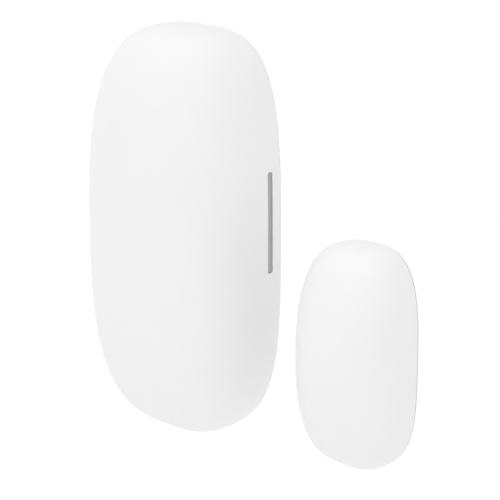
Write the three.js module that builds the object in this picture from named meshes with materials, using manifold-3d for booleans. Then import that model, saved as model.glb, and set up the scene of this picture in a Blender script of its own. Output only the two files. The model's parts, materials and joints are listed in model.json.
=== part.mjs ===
// Wireless door contact sensor: a pebble-shaped sensor unit that sticks to the door frame, and the smaller
// magnet unit that sticks to the door leaf beside it. Millimetres.
//
// Both units are built lying on their backs, with X across them, Y along them and Z up from the wall. The
// last group stands them up: +Z runs along the units, their fronts face -Y, and the origin is the middle of
// the sensor unit's mounting face.
import * as THREE from "three";
import { mergeVertices } from "three/addons/utils/BufferGeometryUtils.js";
import Module from "manifold-3d";

const wasm = await Module();
wasm.setup();

// ---- Driving dimensions ----

const GAP = 0.1; // between pieces that touch
const FIT = 0.3; // between a cover and what stands inside it
const TAPE = { thickness: 1.1, sunk: 0.3 }; // the mounting tape, sunk into its back plate
const BACK = TAPE.thickness + GAP - TAPE.sunk; // a unit's rear face; depths are counted from here

// A pebble's outline is a superellipse. It is widest at widestDepth, draws in by backInset towards the rear
// face, and closes in a dome at thickness, where its power has gone from outlinePower to tipPower. The cover
// begins just in front of seamDepth.
const SENSOR = {
  width: 36,
  length: 75,
  thickness: 22.6,
  outlinePower: 3.26,
  tipPower: 2.9,
  domePower: 2.65,
  widestDepth: 7.2,
  backInset: 2.0,
  seamDepth: 0.4,
  wall: 2.6,
  domeWall: 1.9,
  tape: { width: 22, length: 54 },
};
const MAGNET_UNIT = {
  width: 21.3,
  length: 40,
  thickness: 14.6,
  outlinePower: 3.2,
  tipPower: 2,
  domePower: 2.15,
  widestDepth: 4.2,
  backInset: 0.65,
  seamDepth: 0.4,
  wall: 1.6,
  domeWall: 1.6,
  tape: { width: 12, length: 28 },
};
const MAGNET_PLACE = { x: 39, y: -15.5 }; // from the sensor unit's middle
const OUTLINE_STEPS = 48;

const FLOOR = 1.5; // thickness of a back plate
const LIP = { height: 2.3, wall: 1 }; // the rib round a back plate that locates its cover
const LIP_TOP = BACK + FLOOR + LIP.height;
const RIDGE = { length: 4.4, height: 0.9, place: 0.22 }; // the bumps on the lip that the cover clicks past
const PRY_NOTCH = { width: 9, reach: 2.6 };
const COVER_RIB = 1.2;

const BOARD = { back: 4.5, thickness: 1.2, edgeGap: 0.3 };
const BOARD_FRONT = BOARD.back + BOARD.thickness;
const BOSS_RADIUS = 1.9;
const REST = { radius: 1.2, places: [[11.5, 18], [11.5, -14], [-12, 12], [-12, -14]] };
const SCREW = { headRadius: 1.7, headHeight: 1.1, shankRadius: 0.75, length: 3 };
const SCREW_CROSS = [[1.05, 0.28], [0.28, 1.05]]; // half sizes of the two slots
const SCREW_PLACES = { upper: [-7.6, 27.6], lower: [0, -30.4] };

const CELL = { radius: 5.2, length: 43.3, nippleRadius: 1.9, nippleHeight: 1, spacing: 11 };
const HOLDER = {
  x: -1,
  y: -0.85,
  length: 51.3,
  endWall: 1.2,
  sideWall: 0.6,
  floor: 0.9,
  endHeight: 8.7,
  sideHeight: 4.6,
};
const BAY_RADIUS = CELL.radius + 0.2;
const BAY_REACH = HOLDER.length / 2 - HOLDER.endWall; // from the holder's middle to the inside of an end wall
const CELL_AXIS = HOLDER.floor + GAP + CELL.radius;
const CONTACT = { thickness: 0.35, height: 5, halfWidth: 3.7, tailHalf: 1, pocket: 0.8 };
const SPRING = { wireRadius: 0.3, wideRadius: 2.1, narrowRadius: 1.3, turns: 4 };

const LIGHT_BAR = { length: 18.3, width: 1.2, y: 4, depth: 4.2, recess: 0.12 };
const BAR_FLANGE = { half: 1.3, thickness: 0.7, beyond: 1.2 };
const REED = { x: 11.8, glassRadius: 1, glassLength: 14, glassWall: 0.25, boreRadius: 0.42, rise: 0.25 };
const LEAD_RADIUS = 0.25;
const BLADE = { width: 0.8, thickness: 0.18, gap: 0.22, overlap: 0.8, root: 1.6 };
const PAIR_SWITCH = { x: 7.1, y: 27.6, size: 3.6, height: 1.3, well: 0.4, plungerRadius: 0.85, travel: 0.25 };

const BAR_MAGNET = { width: 6, length: 24, height: 5, x: -3.2 };
const CRADLE = { rib: 0.9, height: 3.4, sidePlaces: [-7, 7], sideHalf: 2.5 };

// ---- Solids ----

function solidOf(geometry) {
  const bare = new THREE.BufferGeometry();
  bare.setAttribute("position", geometry.getAttribute("position"));
  bare.setIndex(geometry.getIndex());
  const merged = mergeVertices(bare, 1e-4);
  const mesh = new wasm.Mesh({
    numProp: 3,
    vertProperties: new Float32Array(merged.attributes.position.array),
    triVerts: new Uint32Array(merged.index.array),
  });
  return new wasm.Manifold(mesh);
}

function geometryOf(solid) {
  const mesh = solid.getMesh();
  const geometry = new THREE.BufferGeometry();
  geometry.setAttribute("position", new THREE.BufferAttribute(new Float32Array(mesh.vertProperties), 3));
  geometry.setIndex(new THREE.BufferAttribute(new Uint32Array(mesh.triVerts), 1));
  geometry.computeVertexNormals();
  return geometry;
}

const joined = (first, ...others) => others.reduce((whole, piece) => whole.add(piece), first);
const without = (first, ...cuts) => cuts.reduce((whole, cut) => whole.subtract(cut), first);

// A box from one corner to the opposite one.
function box([x0, y0, z0], [x1, y1, z1]) {
  const geometry = new THREE.BoxGeometry(x1 - x0, y1 - y0, z1 - z0);
  geometry.translate((x0 + x1) / 2, (y0 + y1) / 2, (z0 + z1) / 2);
  return solidOf(geometry);
}

// An upright round post between two heights.
function post(x, y, radius, z0, z1, sides = 16) {
  const geometry = new THREE.CylinderGeometry(radius, radius, z1 - z0, sides);
  geometry.rotateX(Math.PI / 2).translate(x, y, (z0 + z1) / 2);
  return solidOf(geometry);
}

// A turned piece with its axis along Y; each profile point is [radius, y].
function turned(profile, sides) {
  return new THREE.LatheGeometry(profile.map((point) => new THREE.Vector2(...point)), sides);
}

// A piece that keeps one outline between two heights.
function slab(shape, z0, z1) {
  const options = { depth: z1 - z0, bevelEnabled: false, curveSegments: 4 };
  return solidOf(new THREE.ExtrudeGeometry(shape, options).translate(0, 0, z0));
}

function roundedRectangle(width, height, radius) {
  const shape = new THREE.Shape();
  const [right, top] = [width / 2, height / 2];
  shape.moveTo(radius - right, -top);
  shape.absarc(right - radius, radius - top, radius, -Math.PI / 2, 0);
  shape.absarc(right - radius, top - radius, radius, 0, Math.PI / 2);
  shape.absarc(radius - right, top - radius, radius, Math.PI / 2, Math.PI);
  shape.absarc(radius - right, radius - top, radius, Math.PI, 1.5 * Math.PI);
  return shape;
}

// A round wire that follows a curve.
function wire(curve, radius, steps) {
  const section = new THREE.Shape().absarc(0, 0, radius, 0, 2 * Math.PI);
  const options = { extrudePath: curve, steps, curveSegments: 3, bevelEnabled: false };
  return solidOf(new THREE.ExtrudeGeometry(section, options));
}

// ---- Pebble surfaces ----

function outlinePoints(halfWidth, halfLength, power) {
  const points = [];
  for (let i = 0; i < OUTLINE_STEPS; i++) {
    const angle = (2 * Math.PI * i) / OUTLINE_STEPS;
    const [c, s] = [Math.cos(angle), Math.sin(angle)];
    const x = halfWidth * Math.sign(c) * Math.abs(c) ** (2 / power);
    const y = halfLength * Math.sign(s) * Math.abs(s) ** (2 / power);
    points.push(new THREE.Vector2(x, y));
  }
  return points;
}

function outlineShape(unit, inset) {
  return new THREE.Shape(outlinePoints(unit.width / 2 - inset, unit.length / 2 - inset, unit.outlinePower));
}

// A closed surface through stacked sections, each { halfWidth, halfLength, power, z }. The last may rise to a
// tip.
function loft(sections) {
  const positions = [];
  const faces = [];
  for (const { halfWidth, halfLength, power, z } of sections) {
    for (const { x, y } of outlinePoints(halfWidth, halfLength, power)) {
      positions.push(x, y, z);
    }
  }
  const last = sections.length - 1;
  const rearMiddle = positions.length / 3;
  const frontMiddle = rearMiddle + 1;
  positions.push(0, 0, sections[0].z);
  positions.push(0, 0, sections[last].tip ?? sections[last].z);
  for (let i = 0; i < OUTLINE_STEPS; i++) {
    const j = (i + 1) % OUTLINE_STEPS;
    faces.push(rearMiddle, j, i);
    for (let ring = 0; ring < last; ring++) {
      const [low, high] = [ring * OUTLINE_STEPS, (ring + 1) * OUTLINE_STEPS];
      faces.push(low + i, low + j, high + j);
      faces.push(low + i, high + j, high + i);
    }
    faces.push(frontMiddle, last * OUTLINE_STEPS + i, last * OUTLINE_STEPS + j);
  }
  const geometry = new THREE.BufferGeometry();
  geometry.setAttribute("position", new THREE.Float32BufferAttribute(positions, 3));
  geometry.setIndex(faces);
  return solidOf(geometry);
}

// The side of a unit between two depths behind its widest line, brought in by an inset.
function sideSections(unit, fromDepth, toDepth, inset, count) {
  const sections = [];
  for (let i = 0; i < count; i++) {
    const depth = fromDepth + ((toDepth - fromDepth) * i) / (count - 1);
    const rise = 1 - depth / unit.widestDepth;
    const drawnIn = inset + unit.backInset * (1 - Math.sqrt(1 - rise * rise));
    sections.push({
      halfWidth: unit.width / 2 - drawnIn,
      halfLength: unit.length / 2 - drawnIn,
      power: unit.outlinePower,
      z: BACK + depth,
    });
  }
  return sections;
}

// The dome from the widest line to its tip, brought in by one inset at the sides and another at the tip.
function domeSections(unit, inset, tipInset, count) {
  const tipDepth = unit.thickness - tipInset;
  const sections = [];
  for (let i = 0; i < count; i++) {
    const angle = (i / count) * 0.485 * Math.PI;
    const share = Math.cos(angle) ** (2 / unit.domePower);
    const rise = Math.sin(angle) ** (2 / unit.domePower);
    sections.push({
      halfWidth: (unit.width / 2 - inset) * share,
      halfLength: (unit.length / 2 - inset) * share,
      power: THREE.MathUtils.lerp(unit.outlinePower, unit.tipPower, rise ** 2),
      z: BACK + unit.widestDepth + (tipDepth - unit.widestDepth) * rise,
    });
  }
  sections.at(-1).tip = BACK + tipDepth;
  return sections;
}

// A unit's outside in front of its seam, brought in by an inset.
function pebble(unit, inset, rings) {
  const side = sideSections(unit, unit.seamDepth + GAP, unit.widestDepth, inset, 4);
  return loft([...side.slice(0, -1), ...domeSections(unit, inset, inset, rings)]);
}

// The hollow in a cover: straight up to the widest line, then a dome.
function hollow(unit, rings) {
  const [halfWidth, halfLength] = [unit.width / 2 - unit.wall, unit.length / 2 - unit.wall];
  const mouth = { halfWidth, halfLength, power: unit.outlinePower, z: 0 };
  return loft([mouth, ...domeSections(unit, unit.wall, unit.domeWall, rings)]);
}

// ---- Covers, back plates and tape ----

// A cover is a shell with cross ribs inside, which hold down what lies behind them.
function cover(unit, rings, ribs) {
  const shell = without(pebble(unit, 0, rings), hollow(unit, rings - 2));
  const inside = pebble(unit, unit.domeWall / 2, rings);
  const [left, right, above] = [ribs.x - ribs.half, ribs.x + ribs.half, 2 * unit.thickness];
  const solidRibs = ribs.places.map((y) =>
    box([left, y, ribs.foot], [right, y + COVER_RIB, above]).intersect(inside),
  );
  return joined(shell, ...solidRibs);
}

function tapeShape({ width, length }, clearance) {
  return roundedRectangle(width + 2 * clearance, length + 2 * clearance, width * 0.35);
}

function tapePad(unit) {
  return slab(tapeShape(unit.tape, 0), 0, TAPE.thickness);
}

// A back plate: a rim that goes on with the cover's curve, a floor, and the lip that stands in the cover.
function backPlate(unit) {
  const lipInset = unit.wall + FIT;
  const rim = loft(sideSections(unit, 0, unit.seamDepth, 0, 3));
  const floor = slab(outlineShape(unit, lipInset), BACK, BACK + FLOOR);
  const lip = without(
    slab(outlineShape(unit, lipInset), BACK, LIP_TOP),
    slab(outlineShape(unit, lipInset + LIP.wall), 0, LIP_TOP + 1),
  );
  const ridgeRing = without(
    slab(outlineShape(unit, unit.wall + GAP), LIP_TOP - RIDGE.height, LIP_TOP),
    slab(outlineShape(unit, lipInset + LIP.wall / 2), 0, LIP_TOP + 1),
  );
  const ridges = [-1, 1].map((end) => {
    const y = end * unit.length * RIDGE.place;
    const [low, high] = [y - RIDGE.length / 2, y + RIDGE.length / 2];
    return box([-unit.width, low, 0], [unit.width, high, LIP_TOP + 1]).intersect(ridgeRing);
  });
  const tapePocket = slab(tapeShape(unit.tape, GAP), 0, BACK + TAPE.sunk);
  const notch = box(
    [-PRY_NOTCH.width / 2, -unit.length, 0],
    [PRY_NOTCH.width / 2, PRY_NOTCH.reach - unit.length / 2, BACK + unit.seamDepth + 1],
  );
  return without(joined(rim, floor, lip, ...ridges), tapePocket, notch);
}

// ---- Sensor unit: shells ----

const barEnds = [LIGHT_BAR.y - LIGHT_BAR.length / 2, LIGHT_BAR.y + LIGHT_BAR.length / 2];
const barMiddle = BACK + LIGHT_BAR.depth;
const barHeights = [barMiddle - LIGHT_BAR.width / 2, barMiddle + LIGHT_BAR.width / 2];

function frontCover() {
  const foot = BOARD_FRONT + GAP + CELL_AXIS + CELL.radius + FIT;
  const slot = box(
    [SENSOR.width / 2 - SENSOR.wall - 1, barEnds[0] - GAP, barHeights[0] - GAP],
    [SENSOR.width, barEnds[1] + GAP, barHeights[1] + GAP],
  );
  return without(cover(SENSOR, 11, { x: HOLDER.x, half: 10, places: [-13, 11], foot }), slot);
}

// The grey light bar: its outer face follows the cover's side, and a flange inside holds it in its slot.
function lightBar() {
  const flangeOutside = SENSOR.width / 2 - SENSOR.wall - FIT - GAP;
  const stem = box(
    [flangeOutside - GAP, barEnds[0], barHeights[0]],
    [SENSOR.width, barEnds[1], barHeights[1]],
  );
  const flange = box(
    [flangeOutside - BAR_FLANGE.thickness, barEnds[0] - BAR_FLANGE.beyond, barMiddle - BAR_FLANGE.half],
    [flangeOutside, barEnds[1] + BAR_FLANGE.beyond, barMiddle + BAR_FLANGE.half],
  );
  return joined(stem.intersect(pebble(SENSOR, LIGHT_BAR.recess, 11)), flange);
}

function sensorBackPlate() {
  const [foot, top] = [BACK + FLOOR / 2, BOARD.back - GAP];
  const screws = Object.values(SCREW_PLACES);
  const bosses = screws.map(([x, y]) => post(x, y, BOSS_RADIUS, foot, top, 20));
  const rests = REST.places.map(([x, y]) => post(x, y, REST.radius, foot, top));
  const pilots = screws.map(([x, y]) => post(x, y, SCREW.shankRadius + GAP, BACK + FLOOR - 0.6, LIP_TOP + 1));
  const lipInside = SENSOR.width / 2 - SENSOR.wall - FIT - LIP.wall;
  const beyond = BAR_FLANGE.beyond + 1.3;
  const barWindow = box(
    [lipInside - 2, barEnds[0] - beyond, BACK + FLOOR],
    [SENSOR.width, barEnds[1] + beyond, LIP_TOP + 1],
  );
  return without(joined(backPlate(SENSOR), ...bosses, ...rests), ...pilots, barWindow);
}

function circuitBoard() {
  const inset = SENSOR.wall + FIT + LIP.wall + BOARD.edgeGap;
  const board = slab(outlineShape(SENSOR, inset), BOARD.back, BOARD_FRONT);
  const holes = Object.values(SCREW_PLACES).map(([x, y]) =>
    post(x, y, SCREW.shankRadius + FIT, BOARD.back - 1, BOARD_FRONT + 1),
  );
  return without(board, ...holes);
}

// A cross-head screw whose head stands at height 0.
function boardScrew() {
  const { headRadius, headHeight, shankRadius, length } = SCREW;
  const profile = [
    [0, -length],
    [shankRadius * 0.6, -length],
    [shankRadius, -length + 0.5],
    [shankRadius, 0],
    [headRadius, 0],
    [headRadius, headHeight * 0.45],
    [headRadius * 0.8, headHeight * 0.85],
    [headRadius * 0.45, headHeight],
    [0, headHeight],
  ];
  const cross = SCREW_CROSS.map(([x, y]) => box([-x, -y, headHeight * 0.45], [x, y, headHeight + 1]));
  return without(solidOf(turned(profile, 16).rotateX(Math.PI / 2)), ...cross);
}

// ---- Sensor unit: batteries, measured from the middle of the holder's underside ----

function batteryHolder() {
  const width = CELL.spacing + 2 * (BAY_RADIUS + HOLDER.sideWall);
  const above = HOLDER.endHeight + 1;
  const block = slab(roundedRectangle(width, HOLDER.length, 3), 0, HOLDER.endHeight);
  const bays = [-1, 1].map((side) => {
    const bay = new THREE.CylinderGeometry(BAY_RADIUS, BAY_RADIUS, 2 * BAY_REACH, 28);
    return solidOf(bay.translate((side * CELL.spacing) / 2, 0, CELL_AXIS));
  });
  const openFront = box([-width, -BAY_REACH, HOLDER.sideHeight], [width, BAY_REACH, above]);
  const fingerNotch = box([-width, -8, HOLDER.sideHeight / 2], [width, 8, above]);
  const pocketHalf = CELL.spacing / 2 + CONTACT.halfWidth + 2 * GAP;
  const pocketFloor = CELL_AXIS - CONTACT.height / 2 - GAP;
  const pocketStart = BAY_REACH - CONTACT.pocket;
  const pockets = [
    box([-pocketHalf, -BAY_REACH, pocketFloor], [pocketHalf, -pocketStart, above]),
    box([-pocketHalf, pocketStart, pocketFloor], [pocketHalf, BAY_REACH, above]),
  ];
  const tailSlots = [-1, 1].map((side) => {
    const [x, half] = [(side * CELL.spacing) / 2, CONTACT.tailHalf + 2 * GAP];
    return box([x - half, -BAY_REACH, -1], [x + half, -pocketStart, pocketFloor + 1]);
  });
  return without(block, ...bays, openFront, fingerNotch, ...pockets, ...tailSlots);
}

// An AAA cell with its flat minus end at the origin and its plus end towards +Y.
function batteryCell() {
  const { radius, length, nippleRadius, nippleHeight } = CELL;
  const profile = [
    [0, 0.25],
    [radius - 1.6, 0.25],
    [radius - 1.3, 0],
    [radius - 0.4, 0],
    [radius, 0.4],
    [radius, length - 0.4],
    [radius - 0.4, length],
    [nippleRadius + 0.1, length],
    [nippleRadius, length + nippleHeight * 0.7],
    [nippleRadius - 0.3, length + nippleHeight],
    [0, length + nippleHeight],
  ];
  return solidOf(turned(profile, 28));
}

class ConeHelix extends THREE.Curve {
  constructor(startRadius, endRadius, height, turns) {
    super();
    Object.assign(this, { startRadius, endRadius, height, turns });
  }

  getPoint(t, target = new THREE.Vector3()) {
    const angle = 2 * Math.PI * this.turns * t;
    const radius = this.startRadius + (this.endRadius - this.startRadius) * t;
    return target.set(radius * Math.cos(angle), this.height * t, radius * Math.sin(angle));
  }
}

const contactRoom = 2 * GAP + CONTACT.thickness; // from an end wall to what bears on its contact
const cellRoom = 2 * (BAY_REACH - contactRoom);
const springRoom = cellRoom - CELL.length - CELL.nippleHeight;

// The cone spring that presses on a cell's minus end, wide at the contact.
function cellSpring() {
  const { wideRadius, narrowRadius, turns, wireRadius } = SPRING;
  const helix = new ConeHelix(wideRadius, narrowRadius, springRoom - 2 * wireRadius - GAP, turns);
  return wire(helix, wireRadius, turns * 12).translate([0, wireRadius, 0]);
}

// A contact plate whose back is at the origin; one with a tail reaches down to the board.
function contactPlate(halfWidth, hasTail) {
  const { thickness, height, tailHalf } = CONTACT;
  const outline = roundedRectangle(2 * halfWidth, height, 1.2);
  const options = { depth: thickness, bevelEnabled: false, curveSegments: 4 };
  const plate = new THREE.ExtrudeGeometry(outline, options).rotateX(Math.PI / 2).translate(0, thickness, 0);
  const tail = box([-tailHalf, 0, -CELL_AXIS], [tailHalf, thickness, 0]);
  return hasTail ? joined(solidOf(plate), tail) : solidOf(plate);
}

// ---- Sensor unit: parts on the board, standing at height 0 ----

function chip(width, length, height, radius) {
  return slab(roundedRectangle(width, length, radius), 0, height);
}

// The reed switch's glass tube, open where the leads pass through its ends.
function reedGlass() {
  const { glassRadius: outside, glassWall, boreRadius: bore, glassLength } = REED;
  const half = glassLength / 2;
  const inside = outside - glassWall;
  const profile = [
    [bore, -half],
    [outside * 0.55, -half],
    [outside * 0.9, -half + 0.5],
    [outside, -half + 1.2],
    [outside, half - 1.2],
    [outside * 0.9, half - 0.5],
    [outside * 0.55, half],
    [bore, half],
    [bore, half - 1.1],
    [inside, half - 1.8],
    [inside, -half + 1.8],
    [bore, -half + 1.1],
    [bore, -half],
  ];
  return solidOf(turned(profile, 16));
}

// A lead comes straight out of the glass and bends down to the board.
function reedLead() {
  const end = REED.glassLength / 2;
  const foot = LEAD_RADIUS - REED.glassRadius - REED.rise;
  const path = new THREE.CatmullRomCurve3([
    new THREE.Vector3(0, end - 1.3, 0),
    new THREE.Vector3(0, end + 0.8, 0),
    new THREE.Vector3(0, end + 1.5, foot / 2),
    new THREE.Vector3(0, end + 2.2, foot),
    new THREE.Vector3(0, end + 3.4, foot),
  ]);
  return wire(path, LEAD_RADIUS, 16);
}

// A contact blade inside the glass; the two overlap in the middle, with a gap between them.
function reedBlade() {
  const { width, thickness, gap, overlap, root } = BLADE;
  return box([-width / 2, -overlap, gap / 2], [width / 2, REED.glassLength / 2 - root, gap / 2 + thickness]);
}

function pairSwitchBody() {
  const { size, height, well, plungerRadius } = PAIR_SWITCH;
  return without(chip(size, size, height, 0.3), post(0, 0, plungerRadius + GAP, well, height + 1, 20));
}

function pairSwitchPlunger() {
  const { height, well, plungerRadius, travel } = PAIR_SWITCH;
  return post(0, 0, plungerRadius, well + GAP + travel, height + 0.55, 20);
}

// ---- Magnet unit ----

function barMagnet() {
  const { width, length, height } = BAR_MAGNET;
  return slab(roundedRectangle(width, length, 0.3), 0, height);
}

// The magnet's back plate carries a cradle of ribs round the bar.
function magnetBackPlate() {
  const { rib, height, sidePlaces, sideHalf } = CRADLE;
  const { x, width, length } = BAR_MAGNET;
  const [halfWidth, halfLength] = [width / 2 + GAP, length / 2 + GAP];
  const [foot, top] = [BACK + FLOOR / 2, BACK + FLOOR + height];
  const ends = [-1, 1].map((end) => {
    const y = end * (halfLength + rib / 2);
    return box([x - halfWidth, y - rib / 2, foot], [x + halfWidth, y + rib / 2, top]);
  });
  const sides = [-1, 1].flatMap((side) =>
    sidePlaces.map((y) => {
      const ribX = x + side * (halfWidth + rib / 2);
      return box([ribX - rib / 2, y - sideHalf, foot], [ribX + rib / 2, y + sideHalf, top]);
    }),
  );
  return joined(backPlate(MAGNET_UNIT), ...ends, ...sides);
}

function magnetCover() {
  const foot = BACK + FLOOR + GAP + BAR_MAGNET.height + FIT;
  return cover(MAGNET_UNIT, 9, { x: BAR_MAGNET.x, half: 3, places: [-8, 7], foot });
}

// ---- Materials ----

function material(color, roughness, metalness = 0) {
  return new THREE.MeshStandardMaterial({ color, roughness, metalness });
}

const whiteShell = material(0xf4f4f4, 0.42);
const whitePlate = material(0xeeeeee, 0.5);
const barGrey = material(0xa9aaac, 0.35);
const foamTape = material(0xd9d9d6, 0.9);
const boardGreen = material(0x1f5b3c, 0.45);
const holderBlack = material(0x1c1d1f, 0.55);
const cellSleeve = material(0x3d6f9e, 0.35);
const nickel = material(0xc9c8c2, 0.28, 1);
const tinPlate = material(0xbfc1c3, 0.35, 1);
const screwSteel = material(0xa8a9ac, 0.3, 1);
const clearGlass = material(0xdde6dc, 0.05);
const ceramic = material(0xd8d2c0, 0.6);
const blackResin = material(0x222326, 0.5);
const ledResin = material(0xf2f0dc, 0.3);
const magnetNickel = material(0xb9b9b6, 0.22, 1);

// ---- Assembly ----

function group([x, y, z], ...children) {
  const made = new THREE.Group();
  made.position.set(x, y, z);
  made.add(...children);
  return made;
}

function piece(name, solid, look, [x, y, z] = [0, 0, 0], turn = 0) {
  const mesh = new THREE.Mesh(geometryOf(solid), look);
  mesh.name = name;
  mesh.position.set(x, y, z);
  mesh.rotation.z = turn;
  return mesh;
}

const HALF_TURN = Math.PI; // the far end of a pair is the near one turned round
const [leftCell, rightCell] = [-CELL.spacing / 2, CELL.spacing / 2];
const minusEnd = cellRoom / 2 - springRoom;
const contactBack = BAY_REACH - GAP;
const tailed = contactPlate(CONTACT.halfWidth, true);
const bridge = contactPlate(CELL.spacing / 2 + CONTACT.halfWidth, false);
const batteries = group(
  [HOLDER.x, HOLDER.y, BOARD_FRONT + GAP],
  piece("battery_holder", batteryHolder(), holderBlack),
  piece("battery_cell_left", batteryCell(), cellSleeve, [leftCell, -minusEnd, CELL_AXIS]),
  piece("battery_cell_right", batteryCell(), cellSleeve, [rightCell, minusEnd, CELL_AXIS], HALF_TURN),
  piece("cell_spring_lower", cellSpring(), nickel, [leftCell, -cellRoom / 2, CELL_AXIS]),
  piece("cell_spring_upper", cellSpring(), nickel, [rightCell, cellRoom / 2, CELL_AXIS], HALF_TURN),
  piece("negative_contact", tailed, nickel, [leftCell, -contactBack, CELL_AXIS]),
  piece("positive_contact", tailed, nickel, [rightCell, -contactBack, CELL_AXIS]),
  piece("bridge_contact", bridge, nickel, [0, contactBack, CELL_AXIS], HALF_TURN),
);

const fixedBlade = [0, 0, -BLADE.gap - BLADE.thickness];
const reedSwitch = group(
  [REED.x, LIGHT_BAR.y, REED.rise + REED.glassRadius],
  piece("reed_glass", reedGlass(), clearGlass),
  piece("reed_lead_upper", reedLead(), nickel),
  piece("reed_lead_lower", reedLead(), nickel, [0, 0, 0], HALF_TURN),
  piece("reed_blade_moving", reedBlade(), nickel),
  piece("reed_blade_fixed", reedBlade(), nickel, fixedBlade, HALF_TURN),
);

const switchPlace = [PAIR_SWITCH.x, PAIR_SWITCH.y, 0];
const electronics = group(
  [0, 0, BOARD_FRONT + GAP],
  piece("board_screw_upper", boardScrew(), screwSteel, [...SCREW_PLACES.upper, 0]),
  piece("board_screw_lower", boardScrew(), screwSteel, [...SCREW_PLACES.lower, 0]),
  piece("radio_shield_can", chip(8.4, 5.6, 1.9, 0.6), tinPlate, [-0.4, 28.4, 0]),
  piece("chip_antenna", chip(3.2, 0.9, 0.7, 0.1), ceramic, [-0.4, 32.1, 0]),
  piece("pair_switch_body", pairSwitchBody(), blackResin, switchPlace),
  piece("pair_switch_plunger", pairSwitchPlunger(), ceramic, switchPlace),
  piece("status_led", chip(0.7, 1.6, 0.7, 0.1), ledResin, [13.25, LIGHT_BAR.y, 0]),
  piece("timing_crystal", chip(1.5, 3.2, 0.8, 0.5), tinPlate, [12, -9.6, 0]),
  piece("reservoir_capacitor", chip(2.2, 3.5, 1.7, 0.15), ceramic, [11.8, -15.4, 0]),
  reedSwitch,
);

const sensorUnit = group(
  [0, 0, 0],
  piece("sensor_mounting_tape", tapePad(SENSOR), foamTape),
  piece("sensor_back_plate", sensorBackPlate(), whitePlate),
  piece("circuit_board", circuitBoard(), boardGreen),
  electronics,
  batteries,
  piece("light_bar", lightBar(), barGrey),
  piece("front_cover", frontCover(), whiteShell),
);

const magnetUnit = group(
  [MAGNET_PLACE.x, MAGNET_PLACE.y, 0],
  piece("magnet_mounting_tape", tapePad(MAGNET_UNIT), foamTape),
  piece("magnet_back_plate", magnetBackPlate(), whitePlate),
  piece("bar_magnet", barMagnet(), magnetNickel, [BAR_MAGNET.x, 0, BACK + FLOOR + GAP]),
  piece("magnet_cover", magnetCover(), whiteShell),
);

const doorContact = group([0, 0, 0], sensorUnit, magnetUnit);
doorContact.rotation.x = Math.PI / 2;

export default doorContact;
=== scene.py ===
import json
from math import copysign, cos, pi, radians, sin, sqrt

import bmesh
import bpy
import numpy as np
from mathutils import Matrix, Vector


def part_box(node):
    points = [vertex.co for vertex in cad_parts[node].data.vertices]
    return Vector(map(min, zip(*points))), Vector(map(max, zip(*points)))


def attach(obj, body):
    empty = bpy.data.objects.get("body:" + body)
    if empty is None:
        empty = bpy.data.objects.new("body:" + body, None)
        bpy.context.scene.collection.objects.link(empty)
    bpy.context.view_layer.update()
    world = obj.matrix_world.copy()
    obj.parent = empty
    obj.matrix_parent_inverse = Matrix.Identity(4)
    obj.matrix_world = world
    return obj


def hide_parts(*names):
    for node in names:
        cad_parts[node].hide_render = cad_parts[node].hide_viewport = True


# A wireless door contact: a white pebble-shaped sensor unit and its smaller magnet unit, on a pale stage.
#
# Pieces are built in millimetres with the units lying on their backs: x across, y along, and h up from the
# wall. stand() then turns them into the frame's metres, where y becomes +Z and h becomes -Y.

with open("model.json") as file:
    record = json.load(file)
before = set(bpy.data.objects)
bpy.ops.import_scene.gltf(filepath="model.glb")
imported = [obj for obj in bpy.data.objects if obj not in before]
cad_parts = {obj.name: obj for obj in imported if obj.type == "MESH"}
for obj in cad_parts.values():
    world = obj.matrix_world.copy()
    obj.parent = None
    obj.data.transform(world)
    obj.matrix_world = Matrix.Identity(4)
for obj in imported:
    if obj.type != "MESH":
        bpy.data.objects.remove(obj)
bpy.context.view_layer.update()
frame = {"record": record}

MM = 0.001
STAND = Matrix.Rotation(radians(90), 4, "X") @ Matrix.Scale(MM, 4)
BODY_OF = {node: body for body, nodes in frame["record"]["behaviour"]["bodies"].items() for node in nodes}

GAP = 0.1  # between pieces that touch, as in the CAD model
BACK = 0.9  # height of a unit's rear face above the wall
AROUND = 224  # points round a shell's outline
OUTER_RINGS, INNER_RINGS = 46, 24  # sections up a dome, outside and inside


class Box:
    """A CAD node's box with the units lying on their backs, in millimetres."""

    def __init__(self, node):
        low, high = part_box(node)
        self.low = Vector((low.x, low.z, -high.y)) / MM
        self.high = Vector((high.x, high.z, -low.y)) / MM
        self.middle = (self.low + self.high) / 2
        self.size = self.high - self.low


# ---- Materials ----


class Tree:
    """The node tree of a material or of the sky."""

    def __init__(self, owner):
        owner.use_nodes = True
        self.tree = owner.node_tree

    def add(self, kind, **inputs):
        node = self.tree.nodes.new("ShaderNode" + kind)
        for name, value in inputs.items():
            node.inputs[name].default_value = value
        return node

    def link(self, output, target):
        self.tree.links.new(output, target)

    def maths(self, operation, *values):
        """A maths node on numbers and on other nodes' outputs."""
        node = self.add("Math")
        node.operation = operation
        for target, value in zip(node.inputs, values):
            if isinstance(value, (int, float)):
                target.default_value = value
            else:
                self.link(value, target)
        return node.outputs[0]


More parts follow.
